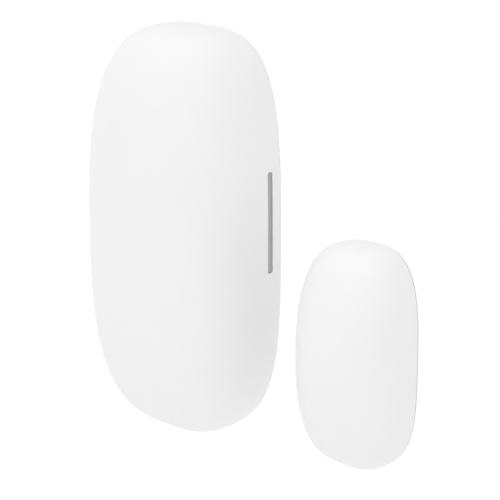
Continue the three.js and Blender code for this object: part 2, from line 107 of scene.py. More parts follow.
class Nodes(Tree):
    """A material's node tree, with short calls for the nodes that the surfaces here share."""

    def __init__(self, name):
        self.material = bpy.data.materials.new(name)
        super().__init__(self.material)
        self.shader = self.tree.nodes["Principled BSDF"]
        self.place = self.add("TexCoord").outputs["Object"]

    def noise(self, size_mm, detail=3.0, stretch=(1, 1, 1)):
        """Noise whose features are about size_mm across, longer where stretch is under 1."""
        mapping = self.add("Mapping", Scale=stretch)
        self.link(self.place, mapping.inputs["Vector"])
        noise = self.add("TexNoise", Scale=1 / (size_mm * MM), Detail=detail)
        self.link(mapping.outputs["Vector"], noise.inputs["Vector"])
        return noise.outputs["Fac"]

    def cells(self, size_mm):
        voronoi = self.add("TexVoronoi", Scale=1 / (size_mm * MM))
        self.link(self.place, voronoi.inputs["Vector"])
        return voronoi.outputs["Distance"]

    def weave(self, pitch_mm):
        """The ups and downs of a plain weave."""
        waves = []
        for axis in ("X", "Z"):
            wave = self.add("TexWave", Scale=1 / (pitch_mm * MM * 20 / pi))
            wave.bands_direction = axis
            self.link(self.place, wave.inputs["Vector"])
            waves.append(wave.outputs["Fac"])
        return self.maths("MULTIPLY", *waves)

    def ramp(self, factor, low, high, start=0.3, end=0.7):
        """Spreads a factor between two colours, or between two greys given as numbers."""
        ramp = self.add("ValToRGB")
        for element, value, position in zip(ramp.color_ramp.elements, (low, high), (start, end)):
            grey = isinstance(value, (int, float))
            element.color = (value, value, value, 1) if grey else (*value, 1)
            element.position = position
        self.link(factor, ramp.inputs["Fac"])
        return ramp.outputs["Color"]

    def colour(self, factor, low, high, start=0.3, end=0.7):
        self.link(self.ramp(factor, low, high, start, end), self.shader.inputs["Base Color"])

    def roughness(self, factor, low, high):
        self.link(self.ramp(factor, low, high), self.shader.inputs["Roughness"])

    def bump(self, factor, height_mm, strength=1.0):
        """Adds relief to whatever bump is there already."""
        bump = self.add("Bump", Distance=height_mm * MM, Strength=strength)
        self.link(factor, bump.inputs["Height"])
        normal = self.shader.inputs["Normal"]
        if normal.is_linked:
            self.link(normal.links[0].from_socket, bump.inputs["Normal"])
        self.link(bump.outputs["Normal"], normal)

    def set(self, **values):
        for name, value in values.items():
            self.shader.inputs[name.replace("_", " ")].default_value = value


def tinted(colour, share):
    return tuple(min(1.0, c * share) for c in colour)


def moulded_plastic(name, colour, roughness, grain_mm, grain_depth_mm):
    """Moulded plastic: an even colour with faint flow clouds, and the fine texture of the mould."""
    nodes = Nodes(name)
    clouds = nodes.noise(9, detail=2)
    nodes.colour(clouds, tinted(colour, 0.992), tinted(colour, 1.008))
    nodes.roughness(nodes.noise(2.5), roughness - 0.025, roughness + 0.025)
    nodes.bump(nodes.noise(grain_mm, detail=4), grain_depth_mm, 0.35)
    nodes.set(IOR=1.46, Specular_IOR_Level=0.3)
    return nodes.material


def plated_metal(name, colour, roughness, brushing=(1, 1, 1)):
    """Plated or rolled metal: faint drawing lines, and roughness that varies as handling leaves it."""
    nodes = Nodes(name)
    lines = nodes.noise(0.2, detail=2, stretch=brushing)
    nodes.colour(nodes.noise(2.5), tinted(colour, 0.96), tinted(colour, 1.04))
    nodes.roughness(nodes.noise(0.8), roughness - 0.05, roughness + 0.06)
    nodes.bump(lines, 0.0015, 0.25)
    nodes.set(Metallic=1.0)
    return nodes.material


def foam_tape():
    """Closed-cell foam with its pores, as a die-cut edge shows them; the pits are painted darker at their
    centres as painted shade.
    """
    nodes = Nodes("foam_tape")
    pore_pits_and_shade = nodes.cells(0.28)
    # painted shade: the pore centres, where the bump sinks the pits, are painted darker than the cell walls
    nodes.colour(pore_pits_and_shade, (0.50, 0.50, 0.48), (0.66, 0.66, 0.64), 0.05, 0.5)
    nodes.roughness(nodes.noise(0.5), 0.82, 0.95)
    nodes.bump(pore_pits_and_shade, 0.05, 0.6)
    return nodes.material


def release_liner():
    """Waxed paper over the adhesive: slightly glossy, with a faint fibre."""
    nodes = Nodes("release_liner")
    nodes.colour(nodes.noise(1.2, stretch=(1, 1, 0.3)), (0.70, 0.69, 0.64), (0.76, 0.75, 0.71))
    nodes.roughness(nodes.noise(0.6), 0.34, 0.46)
    nodes.bump(nodes.noise(0.35, stretch=(1, 1, 0.35)), 0.012, 0.5)
    return nodes.material


def solder_resist():
    """Green resist over a copper pour: glossy, with the weave of the glass cloth just showing through."""
    nodes = Nodes("solder_resist")
    nodes.colour(nodes.noise(1.5), (0.012, 0.088, 0.04), (0.017, 0.11, 0.05))
    nodes.roughness(nodes.noise(0.8), 0.22, 0.34)
    nodes.bump(nodes.weave(0.35), 0.006, 0.5)
    return nodes.material


def printed_sleeve(name, colour):
    """The shrunk film round a cell: glossy, with faint ripples."""
    nodes = Nodes(name)
    nodes.colour(nodes.noise(5), tinted(colour, 0.94), tinted(colour, 1.05))
    nodes.roughness(nodes.noise(1.4), 0.16, 0.28)
    nodes.bump(nodes.noise(2.2, stretch=(1, 1, 0.4)), 0.03, 0.3)
    nodes.set(Coat_Weight=0.4)
    return nodes.material


def clear_glass():
    nodes = Nodes("clear_glass")
    nodes.colour(nodes.noise(3), (0.82, 0.93, 0.86), (0.9, 0.97, 0.92))
    nodes.roughness(nodes.noise(1.5), 0.01, 0.05)
    nodes.set(IOR=1.48, Transmission_Weight=1.0)
    return nodes.material


def mottled(name, low, high, roughness, size_mm=0.6):
    """Fired ceramic, resin and other fine-grained stuff."""
    nodes = Nodes(name)
    nodes.colour(nodes.noise(size_mm), low, high)
    nodes.roughness(nodes.noise(size_mm * 2), roughness - 0.06, roughness + 0.06)
    nodes.bump(nodes.noise(size_mm / 4), 0.008, 0.5)
    return nodes.material


WHITE_SHELL = moulded_plastic("white_shell", (0.825, 0.825, 0.825), 0.46, 0.11, 0.003)
WHITE_PLATE = moulded_plastic("white_plate", (0.74, 0.74, 0.735), 0.5, 0.16, 0.012)
BAR_GREY = moulded_plastic("light_bar_grey", (0.385, 0.387, 0.392), 0.3, 0.14, 0.003)
HOLDER_BLACK = moulded_plastic("holder_black", (0.018, 0.019, 0.021), 0.48, 0.2, 0.012)
FOAM = foam_tape()
LINER = release_liner()
RESIST = solder_resist()
SLEEVE = printed_sleeve("cell_sleeve", (0.035, 0.15, 0.36))
SLEEVE_LINE = printed_sleeve("cell_sleeve_line", (0.62, 0.63, 0.65))
SLEEVE_BAND = printed_sleeve("cell_sleeve_band", (0.018, 0.05, 0.12))
NICKEL = plated_metal("nickel", (0.66, 0.63, 0.57), 0.26)
TIN = plated_metal("tin_plate", (0.62, 0.63, 0.64), 0.32, brushing=(1, 1, 0.08))
STEEL = plated_metal("screw_steel", (0.52, 0.53, 0.55), 0.3)
MAGNET_NICKEL = plated_metal("magnet_nickel", (0.56, 0.55, 0.52), 0.2)
GOLD_PAD = plated_metal("gold_pad", (0.83, 0.62, 0.27), 0.3)
SOLDER = plated_metal("solder", (0.6, 0.61, 0.62), 0.24)
GLASS = clear_glass()
CERAMIC = mottled("ceramic", (0.55, 0.5, 0.38), (0.64, 0.59, 0.46), 0.5)
WHITE_NYLON = mottled("white_nylon", (0.72, 0.71, 0.67), (0.78, 0.77, 0.73), 0.42)
BLACK_RESIN = mottled("black_resin", (0.012, 0.012, 0.014), (0.025, 0.025, 0.028), 0.45)
LED_RESIN = mottled("led_resin", (0.72, 0.7, 0.52), (0.8, 0.78, 0.6), 0.22)
SCREEN_INK = mottled("screen_ink", (0.7, 0.7, 0.68), (0.78, 0.78, 0.76), 0.6)
CAPACITOR_BODY = mottled("capacitor_body", (0.42, 0.3, 0.12), (0.5, 0.37, 0.17), 0.4)
FIBREGLASS = mottled("fibreglass", (0.42, 0.4, 0.22), (0.52, 0.5, 0.3), 0.7, 0.2)
TRACE = mottled("trace", (0.02, 0.14, 0.062), (0.028, 0.18, 0.08), 0.25)


# ---- Meshes ----


def mesh_object(name, points, faces):
    mesh = bpy.data.meshes.new(name)
    mesh.from_pydata([tuple(p) for p in points], [], faces)
    made = bpy.data.objects.new(name, mesh)
    bpy.context.scene.collection.objects.link(made)
    return made


def even_outline(half_width, half_length, power, count):
    """A superellipse's points, spread evenly along it."""
    angle = np.linspace(0, 2 * np.pi, 4001)
    c, s = np.cos(angle), np.sin(angle)
    x = half_width * np.sign(c) * np.abs(c) ** (2 / power)
    y = half_length * np.sign(s) * np.abs(s) ** (2 / power)
    along = np.concatenate([[0], np.cumsum(np.hypot(np.diff(x), np.diff(y)))])
    at = np.linspace(0, along[-1], count, endpoint=False)
    return np.column_stack([np.interp(at, along, x), np.interp(at, along, y)])


def quarter_turn(steps):
    """The (cosine, sine) pairs at even steps over a quarter turn."""
    angles = [pi / 2 * i / steps for i in range(steps + 1)]
    return [(cos(angle), sin(angle)) for angle in angles]


def rounded_rectangle(low, high, radius, steps=8):
    corners = ((high[0], low[1], -90), (high[0], high[1], 0), (low[0], high[1], 90), (low[0], low[1], 180))
    points = []
    for x, y, start in corners:
        centre_x = x - copysign(radius, x - (low[0] + high[0]) / 2)
        centre_y = y - copysign(radius, y - (low[1] + high[1]) / 2)
        for i in range(steps + 1):
            angle = radians(start + 90 * i / steps)
            points.append((centre_x + radius * cos(angle), centre_y + radius * sin(angle)))
    return points


def circle(x, y, radius, count=40):
    turn = 2 * pi / count
    return [(x + radius * cos(i * turn), y + radius * sin(i * turn)) for i in range(count)]


def loft(rings, closed=False):
    """A skin over rings of equal count, each a list of (x, y, h). It is capped unless it closes on itself."""
    count = len(rings[0])
    points = [p for ring in rings for p in ring]
    faces = []
    for r in range(len(rings) if closed else len(rings) - 1):
        a, b = r * count, (r + 1) % len(rings) * count
        for i in range(count):
            j = (i + 1) % count
            faces.append((a + i, a + j, b + j, b + i))
    if not closed:
        faces.append(tuple(reversed(range(count))))
        faces.append(tuple(range((len(rings) - 1) * count, len(rings) * count)))
    return mesh_object("loft", points, faces)


def prism(outline, low, high):
    return loft([[(x, y, low) for x, y in outline], [(x, y, high) for x, y in outline]])


def prism_along_y(outline, low, high):
    """A prism whose outline is in (x, h) and whose ends are at two values of y."""
    return loft([[(x, low, h) for x, h in outline], [(x, high, h) for x, h in outline]])


def prism_along_x(outline, low, high):
    """A prism whose outline is in (y, h) and whose ends are at two values of x."""
    return loft([[(low, y, h) for y, h in outline], [(high, y, h) for y, h in outline]])


def block(low, high):
    corners = [(low[0], low[1]), (high[0], low[1]), (high[0], high[1]), (low[0], high[1])]
    return prism(corners, low[2], high[2])


def slab(low, high, corner, foot, top, steps=8):
    """A flat piece with rounded corners, over a box in (x, y)."""
    return prism(rounded_rectangle(low, high, corner, steps), foot, top)


def lathe(profile, segments=64):
    """A turned body about the upright.

    Its profile of (radius, h) starts and ends on the axis, or else closes on itself.
    """
    turn = 2 * pi / segments
    rings = []
    for radius, h in profile:
        r = max(radius, 1e-3)
        rings.append([(r * cos(i * turn), r * sin(i * turn), h) for i in range(segments)])
    return loft(rings, closed=profile[0][0] > 0)


def tube(path, radius, segments=14):
    """A round wire along a path, with rounded ends."""
    path = [Vector(p) for p in path]
    rings = []
    side = None
    for i, point in enumerate(path):
        tangent = (path[min(i + 1, len(path) - 1)] - path[max(i - 1, 0)]).normalized()
        guess = side if side is not None else tangent.orthogonal()
        side = (guess - tangent * guess.dot(tangent)).normalized()
        up = tangent.cross(side)
        at_end = i in (0, len(path) - 1)
        r = radius * (0.7 if at_end else 1)
        turn = 2 * pi / segments
        spokes = [side * cos(k * turn) + up * sin(k * turn) for k in range(segments)]
        rings.append([point + spoke * r for spoke in spokes])
    return loft(rings)


def ribbon(path, width, low, high):
    """A flat strip of even width along a path of (x, y), mitred at its corners."""
    path = [Vector(p) for p in path]
    steps = [(b - a).normalized() for a, b in zip(path, path[1:])]
    left, right = [], []
    for i, point in enumerate(path):
        before, after = steps[max(i - 1, 0)], steps[min(i, len(steps) - 1)]
        across = Vector((-before.y - after.y, before.x + after.x)).normalized()
        reach = width / 2 / across.dot(Vector((-after.y, after.x)))
        left.append(point + across * reach)
        right.append(point - across * reach)
    return prism([tuple(p) for p in left + right[::-1]], low, high)


def pillow(low, high, radius, steps=5):
    """A pad with rounded corners and a rounded top, as solder or a soft pad has."""
    rings = []
    depth = high[2] - low[2]
    for cosine, sine in quarter_turn(steps):
        inset = min(radius * 0.9, depth) * (1 - cosine)
        corners = (low[0] + inset, low[1] + inset), (high[0] - inset, high[1] - inset)
        outline = rounded_rectangle(*corners, max(radius - inset, 0.01), 4)
        rings.append([(x, y, low[2] + depth * sine) for x, y in outline])
    return loft(rings)


def outward(made):
    """Makes a mesh's faces point out, and joins points that coincide."""
    bm = bmesh.new()
    bm.from_mesh(made.data)
    bmesh.ops.remove_doubles(bm, verts=bm.verts, dist=1e-5)
    bmesh.ops.recalc_face_normals(bm, faces=bm.faces)
    bm.to_mesh(made.data)
    bm.free()
    return made


def applied(made, kind, **settings):
    """Replaces an object's mesh with what a modifier makes of it."""
    modifier = made.modifiers.new(kind, kind)
    for name, value in settings.items():
        setattr(modifier, name, value)
    shaped = bpy.data.meshes.new_from_object(made.evaluated_get(bpy.context.evaluated_depsgraph_get()))
    made.modifiers.clear()
    made.data = shaped
    return made


def combined(target, others, operation):
    outward(target)
    for other in others:
        outward(other)
        applied(target, "BOOLEAN", object=other, operation=operation, solver="EXACT")
        bpy.data.objects.remove(other)
    return target


def fused(target, *others):
    return combined(target, others, "UNION")


def cut(target, *others):
    return combined(target, others, "DIFFERENCE")


def common(target, *others):
    return combined(target, others, "INTERSECT")


def softened(made, width, segments=3, angle=32):
    """Rounds a moulded or ground piece's edges."""
    size = {"width": width, "segments": segments, "use_clamp_overlap": True}
    return applied(outward(made), "BEVEL", limit_method="ANGLE", angle_limit=radians(angle), **size)


def painted(made, *materials, choose=None):
    """Gives a piece its materials; choose(centre) picks one for a face by its centre, in millimetres."""
    made.data.materials.clear()
    for material in materials:
        made.data.materials.append(material)
    for polygon in made.data.polygons:
        polygon.material_index = choose(polygon.center) if choose else 0
    return made


def merged(*pieces):
    """One object from several, with their materials."""
    bm = bmesh.new()
    materials = []
    for made in pieces:
        outward(made)
        first = len(bm.faces)
        bm.from_mesh(made.data)
        bm.faces.ensure_lookup_table()
        for face in bm.faces[first:]:
            face.material_index += len(materials)
        materials.extend(made.data.materials)
    joined = mesh_object("merged", [], [])
    bm.to_mesh(joined.data)
    bm.free()
    for material in materials:
        joined.data.materials.append(material)
    for made in pieces:
        bpy.data.objects.remove(made)
    return joined


def moved(made, x=0.0, y=0.0, h=0.0):
    made.data.transform(Matrix.Translation((x, y, h)))
    return made


def turned(made, axis, degrees):
    made.data.transform(Matrix.Rotation(radians(degrees), 4, axis))
    return made


def stand(made, name, body, smooth=40):
    """Stands a finished piece up in the frame and makes it ride on its body."""
    outward(made)
    made.name = name
    made.data.name = name
    made.data.transform(STAND)
    made.data.shade_smooth()
    made.data.set_sharp_from_angle(angle=radians(smooth))
    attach(made, body)
    return made


def instead(made, node, smooth=40):
    """Stands a finished piece up in place of a CAD node."""
    stand(made, node + "_fine", BODY_OF[node], smooth)
    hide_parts(node)
    return made


# ---- Pebble-shaped units ----

FIT = 0.3  # between a cover and what stands inside it
FLOOR = 1.5  # thickness of a back plate
LIP_HEIGHT, LIP_WALL = 2.3, 1.0  # the rib round a back plate that locates its cover
LIP_TOP = BACK + FLOOR + LIP_HEIGHT
RIDGE_LENGTH, RIDGE_HEIGHT, RIDGE_PLACE = 4.4, 0.9, 0.22  # the bumps that a cover clicks past
NOTCH_WIDTH, NOTCH_REACH = 9, 2.6  # for prying the cover off
RIB = 1.2  # thickness of a rib in a cover
TAPE_SUNK = 0.3
SEAM = 0.4  # depth of the seam between a back plate and its cover


class Unit:
    """A unit's outside: a superellipse that draws in towards the rear and closes in a dome.

    The superellipse's power goes from outline at the widest line to tip_outline at the tip.
    """

    def __init__(self, cover, tape, outline, tip_outline, dome, widest, inset, wall, dome_wall):
        self.tape = tape
        box = Box(cover)
        self.x, self.y = box.middle.x, box.middle.y
        self.half_width, self.half_length = box.size.x / 2, box.size.y / 2
        self.tip = box.high.z
        self.outline, self.tip_outline, self.dome = outline, tip_outline, dome
        self.widest = BACK + widest
        self.inset, self.wall, self.dome_wall = inset, wall, dome_wall

    def drawn_in(self, h):
        rise = (self.widest - h) / (self.widest - BACK)
        return self.inset * (1 - sqrt(max(0.0, 1 - rise * rise)))

    def ring(self, half_width, half_length, h, rise=0.0):
        """A section at height h, where rise is how far up the dome it is, from 0 to 1."""
        power = self.outline + (self.tip_outline - self.outline) * rise**2
        outline = even_outline(half_width, half_length, power, AROUND)
        return [(self.x + x, self.y + y, h) for x, y in outline]

    def side_ring(self, h, inset=0.0):
        drawn_in = inset + self.drawn_in(h)
        return self.ring(self.half_width - drawn_in, self.half_length - drawn_in, h)

    def dome_rings(self, inset, tip_inset, count):
        """Rings from the widest line to the tip, spread evenly along the dome's curve."""
        t = np.linspace(0, np.pi / 2, 2001)
        share, rise = np.cos(t) ** (2 / self.dome), np.sin(t) ** (2 / self.dome)
        height = self.tip - tip_inset - self.widest
        steps = np.hypot(np.diff(share) * self.half_width, np.diff(rise) * height)
        along = np.concatenate([[0], np.cumsum(steps)])
        at = np.linspace(0, along[-1], count + 1)[:-1]
        half_width, half_length = self.half_width - inset, self.half_length - inset
        rings = []
        for s, r in zip(np.interp(at, along, share), np.interp(at, along, rise)):
            rings.append(self.ring(half_width * s, half_length * s, self.widest + height * r, r))
        return rings + [self.ring(0.05, 0.1, self.tip - tip_inset, 1.0)]

    def flat_outline(self, inset):
        outline = even_outline(self.half_width - inset, self.half_length - inset, self.outline, AROUND)
        return [(self.x + x, self.y + y) for x, y in outline]

    def side_x(self, y, h):
        """How far out the side wall stands at a place on it."""
        drawn_in = self.drawn_in(h)
        share = abs((y - self.y) / (self.half_length - drawn_in)) ** self.outline
        return self.x + (self.half_width - drawn_in) * (1 - share) ** (1 / self.outline)


def cover_shell(unit, rib_x, rib_half, rib_places, rib_foot):
    """The moulded cover: rounded rear edge, side, dome, the hollow inside, and the ribs across it."""
    rear = BACK + SEAM + GAP
    edge = 0.05  # radius of the rear edge
    rounding = [unit.side_ring(rear + edge * (1 - c), edge * (1 - s)) for c, s in quarter_turn(4)]
    sides = [unit.side_ring(h) for h in np.linspace(rear + edge, unit.widest, 9)[1:-1]]
    shell = loft(rounding + sides + unit.dome_rings(0, 0, OUTER_RINGS))
    mouth = unit.ring(unit.half_width - unit.wall, unit.half_length - unit.wall, 0)
    cut(shell, loft([mouth] + unit.dome_rings(unit.wall, unit.dome_wall, INNER_RINGS)))
    for place in rib_places:
        y = unit.y + place
        rib = block((rib_x - rib_half, y, rib_foot), (rib_x + rib_half, y + RIB, unit.tip))
        half = unit.dome_wall / 2
        within = [unit.ring(unit.half_width - half, unit.half_length - half, 0)]
        within += unit.dome_rings(half, half, INNER_RINGS)
        fused(shell, softened(common(rib, loft(within)), 0.12, 2, 60))
    return shell


def tape_outline(unit, beyond=0.0):
    box = Box(unit.tape)
    low = (box.low.x - beyond, box.low.y - beyond)
    high = (box.high.x + beyond, box.high.y + beyond)
    return rounded_rectangle(low, high, 0.35 * box.size.x, 16)


def back_plate(unit):
    """The plate on the wall: a rim, floor, lip and click ridges, less the tape's pocket and the pry notch."""
    edge = 0.06
    rim = loft([unit.side_ring(BACK, edge), unit.side_ring(BACK + edge), unit.side_ring(BACK + SEAM)])
    lip_inset = unit.wall + FIT
    floor = prism(unit.flat_outline(lip_inset), BACK + TAPE_SUNK, BACK + FLOOR)
    lip = prism(unit.flat_outline(lip_inset), BACK + TAPE_SUNK, LIP_TOP)
    cut(lip, prism(unit.flat_outline(lip_inset + LIP_WALL), 0, LIP_TOP + 1))
    softened(lip, 0.15, 2, 60)
    ridges = prism(unit.flat_outline(unit.wall + GAP), LIP_TOP - RIDGE_HEIGHT, LIP_TOP - 0.1)
    cut(ridges, prism(unit.flat_outline(lip_inset + LIP_WALL / 2), 0, LIP_TOP + 1))
    bands = []
    for end in (-1, 1):
        y = unit.y + end * 2 * unit.half_length * RIDGE_PLACE
        low = (unit.x - unit.half_width, y - RIDGE_LENGTH / 2, 0)
        bands.append(block(low, (unit.x + unit.half_width, y + RIDGE_LENGTH / 2, LIP_TOP + 1)))
    softened(common(ridges, merged(*bands)), 0.15, 2, 60)
    plate = fused(fused(rim, floor), fused(lip, ridges))
    bottom = unit.y - unit.half_length
    low = (unit.x - NOTCH_WIDTH / 2, bottom - 1, 0)
    high = (unit.x + NOTCH_WIDTH / 2, bottom + NOTCH_REACH, BACK + SEAM + 1)
    pocket = prism(tape_outline(unit, GAP), 0, BACK + TAPE_SUNK)
    return cut(plate, pocket, block(low, high))


def mounting_tape(unit):
    """A die-cut foam pad, with its release liner as a thin layer on the wall side."""
    box = Box(unit.tape)
    liner_top = box.low.z + 0.12
    layers = [box.low.z, liner_top, box.high.z]
    pad = loft([[(x, y, h) for x, y in tape_outline(unit)] for h in layers])
    softened(pad, 0.04, 2, 60)
    painted(pad, FOAM, LINER, choose=lambda centre: 1 if centre.z < liner_top else 0)
    instead(pad, unit.tape)


SENSOR_CURVES = {"outline": 3.26, "tip_outline": 2.9, "dome": 2.65}
SENSOR = Unit(
    "front_cover", "sensor_mounting_tape", widest=7.2, inset=2.0, wall=2.6, dome_wall=1.9, **SENSOR_CURVES
)
MAGNET_CURVES = {"outline": 3.2, "tip_outline": 2.0, "dome": 2.15}
MAGNET = Unit(
    "magnet_cover", "magnet_mounting_tape", widest=4.2, inset=0.65, wall=1.6, dome_wall=1.6, **MAGNET_CURVES
)

# ---- Sensor unit: shells ----

BAR = Box("light_bar")
BAR_BEYOND, BAR_OVER = 1.2, 0.7  # how far its flange reaches past the stem, lengthwise and sideways
BAR_RECESS = 0.12
STEM_LOW = (BAR.low.y + BAR_BEYOND, BAR.low.z + BAR_OVER)
STEM_HIGH = (BAR.high.y - BAR_BEYOND, BAR.high.z - BAR_OVER)
STEM_CORNER = 0.25
FLANGE_THICKNESS = 0.7

CELL_RADIUS = 5.2
HOLDER = Box("battery_holder")
HOLDER_FLOOR = 0.9
CELL_AXIS = HOLDER.low.z + HOLDER_FLOOR + GAP + CELL_RADIUS
BOARD = Box("circuit_board")
ON_BOARD = BOARD.high.z + GAP  # where the parts on the board stand


def front_cover():
    foot = CELL_AXIS + CELL_RADIUS + FIT
    shell = cover_shell(SENSOR, HOLDER.middle.x, 10, (-13, 11), foot)
    low, high = (STEM_LOW[0] - GAP, STEM_LOW[1] - GAP), (STEM_HIGH[0] + GAP, STEM_HIGH[1] + GAP)
    slot = rounded_rectangle(low, high, STEM_CORNER + GAP)
    inside = SENSOR.half_width - SENSOR.wall - 1
    return painted(cut(shell, prism_along_x(slot, inside, SENSOR.half_width + 1)), WHITE_SHELL)


def light_bar():
    """The grey bar: a stem with rounded edges that follows the cover's side, on a flange inside the cover."""
    middle = ((STEM_LOW[0] + STEM_HIGH[0]) / 2, (STEM_LOW[1] + STEM_HIGH[1]) / 2)
    section = rounded_rectangle(STEM_LOW, STEM_HIGH, STEM_CORNER)
    edge = 0.14
    rings = [[(BAR.low.x + FLANGE_THICKNESS / 2, y, h) for y, h in section]]
    for cosine, sine in quarter_turn(4):
        pull, sink = edge * (1 - cosine), edge * (1 - sine)
        ring = []
        for y, h in section:
            y = y - copysign(pull, y - middle[0])
            h = h - copysign(pull, h - middle[1])
            ring.append((SENSOR.side_x(y, h) - BAR_RECESS - sink, y, h))
        rings.append(ring)
    flange = block(BAR.low, (BAR.low.x + FLANGE_THICKNESS, BAR.high.y, BAR.high.z))
    return painted(fused(loft(rings), softened(flange, 0.15)), BAR_GREY)


REST_PLACES = ((11.5, 18), (11.5, -14), (-12, 12), (-12, -14))  # posts that the board rests on
REST_RADIUS, BOSS_RADIUS, PILOT_RADIUS = 1.2, 1.9, 0.85
SCREWS = {node: Box(node).middle for node in ("board_screw_upper", "board_screw_lower")}


def sensor_back_plate():
    plate = back_plate(SENSOR)
    foot, top = BACK + FLOOR / 2, BOARD.low.z - GAP
    posts = [(place.x, place.y, BOSS_RADIUS) for place in SCREWS.values()]
    posts += [(x, y, REST_RADIUS) for x, y in REST_PLACES]
    fillet, edge = 0.25, 0.12
    for x, y, radius in posts:
        wide = radius + fillet
        profile = [(0, foot), (wide, foot), (wide, BACK + FLOOR + 0.02), (radius, BACK + FLOOR + fillet)]
        profile += [(radius, top - edge), (radius - edge, top), (0, top)]
        fused(plate, moved(lathe(profile), x, y))
    for place in SCREWS.values():
        cut(plate, prism(circle(place.x, place.y, PILOT_RADIUS), BACK + FLOOR - 0.6, LIP_TOP + 1))
    lip_inside = SENSOR.half_width - SENSOR.wall - FIT - LIP_WALL
    beyond = 1.3
    low = (lip_inside - 2, BAR.low.y - beyond, BACK + FLOOR)
    window = block(low, (SENSOR.half_width, BAR.high.y + beyond, LIP_TOP + 1))
    return painted(cut(plate, window), WHITE_PLATE)


# ---- Sensor unit: circuit board ----

CAN = Box("radio_shield_can")
ANTENNA = Box("chip_antenna")
CRYSTAL = Box("timing_crystal")
CAPACITOR = Box("reservoir_capacitor")
LED = Box("status_led")
SWITCH = Box("pair_switch_body")
REED_UPPER = Box("reed_lead_upper")
REED_LOWER = Box("reed_lead_lower")
REED_X = REED_UPPER.middle.x
PRINTED_ROOM = ((CRYSTAL, 0.2, 0.6), (CAPACITOR, 0.2, 0.75), (SWITCH, 0.75, 0.75), (CAN, 0.45, 0.45))
PAD_TOP = BOARD.high.z + 0.035
INK_TOP = BOARD.high.z + 0.02


def pad(x, y, width, length):
    low = (x - width / 2, y - length / 2, BOARD.high.z - 0.05)
    made = pillow(low, (x + width / 2, y + length / 2, PAD_TOP), min(width, length) * 0.3, 2)
    return painted(made, GOLD_PAD)


def round_pad(x, y, radius):
    low = (x - radius, y - radius, BOARD.high.z - 0.05)
    return painted(pillow(low, (x + radius, y + radius, PAD_TOP), radius * 0.98, 2), GOLD_PAD)


def trace(path, width=0.22):
    return painted(ribbon(path, width, BOARD.high.z - 0.02, BOARD.high.z + 0.025), TRACE)


def corners_in(box, inset):
    """The corners of a box in (x, y), with its sides brought in."""
    return box.low.xy + Vector((inset, inset)), box.high.xy - Vector((inset, inset))


def ink_frame(box, room_x, room_y):
    """A printed outline round a part and its pads."""
    low = (box.low.x - room_x, box.low.y - room_y)
    high = (box.high.x + room_x, box.high.y + room_y)
    line = 0.13
    outer = slab(low, high, 0.15, BOARD.high.z - 0.02, INK_TOP, 3)
    inner_low = (low[0] + line, low[1] + line)
    inner_high = (high[0] - line, high[1] - line)
    cut(outer, slab(inner_low, inner_high, 0.1, 0, INK_TOP + 1, 3))
    return painted(outer, SCREEN_INK)


def board_blank():
    """The bare board, with green faces, a fibreglass edge and two screw holes."""
    inset = SENSOR.half_width - BOARD.size.x / 2
    blank = softened(prism(SENSOR.flat_outline(inset), BOARD.low.z, BOARD.high.z), 0.05, 1, 60)
    for place in SCREWS.values():
        cut(blank, prism(circle(place.x, place.y, 1.05), BOARD.low.z - 1, BOARD.high.z + 1))
    resist = 0.02
    low, high = BOARD.low.z + resist, BOARD.high.z - resist
    return painted(blank, RESIST, FIBREGLASS, choose=lambda centre: 1 if low < centre.z < high else 0)


def board_pads():
    """The gold pads: a ring round each screw, pads under the parts' feet, and a row of test points."""
    pads = []
    for place in SCREWS.values():
        ring = prism(circle(place.x, place.y, 1.9), BOARD.high.z - 0.02, PAD_TOP)
        cut(ring, prism(circle(place.x, place.y, 1.2), 0, PAD_TOP + 1))
        pads.append(painted(ring, GOLD_PAD))
    for box, length in ((CRYSTAL, 0.9), (CAPACITOR, 1.2), (LED, 0.7)):
        for y in (box.low.y, box.high.y):
            pads.append(pad(box.middle.x, y, box.size.x * 0.95, length))
    for x in (ANTENNA.low.x, ANTENNA.high.x):
        pads.append(pad(x, ANTENNA.middle.y, 0.9, 0.86))
    for x in (CAN.low.x, CAN.middle.x - 2, CAN.middle.x + 2, CAN.high.x):
        for y in (CAN.low.y, CAN.high.y):
            pads.append(pad(x, y, 0.6, 0.5))
    for x, y in ((REED_X, REED_UPPER.high.y), (REED_X, REED_LOWER.low.y)):
        pads.append(pad(x, y, 1.3, 1.8))
    for side in (-1, 1):
        for row in (-1, 1):
            pads.append(pad(SWITCH.middle.x + side * 1.9, SWITCH.middle.y + row * 1.15, 1.0, 0.75))
    test_points_x, test_points_y = (-8.4, -6.7, -5.0, 5.0, 6.7), -29.3
    pads += [round_pad(x, test_points_y, 0.55) for x in test_points_x]
    return pads


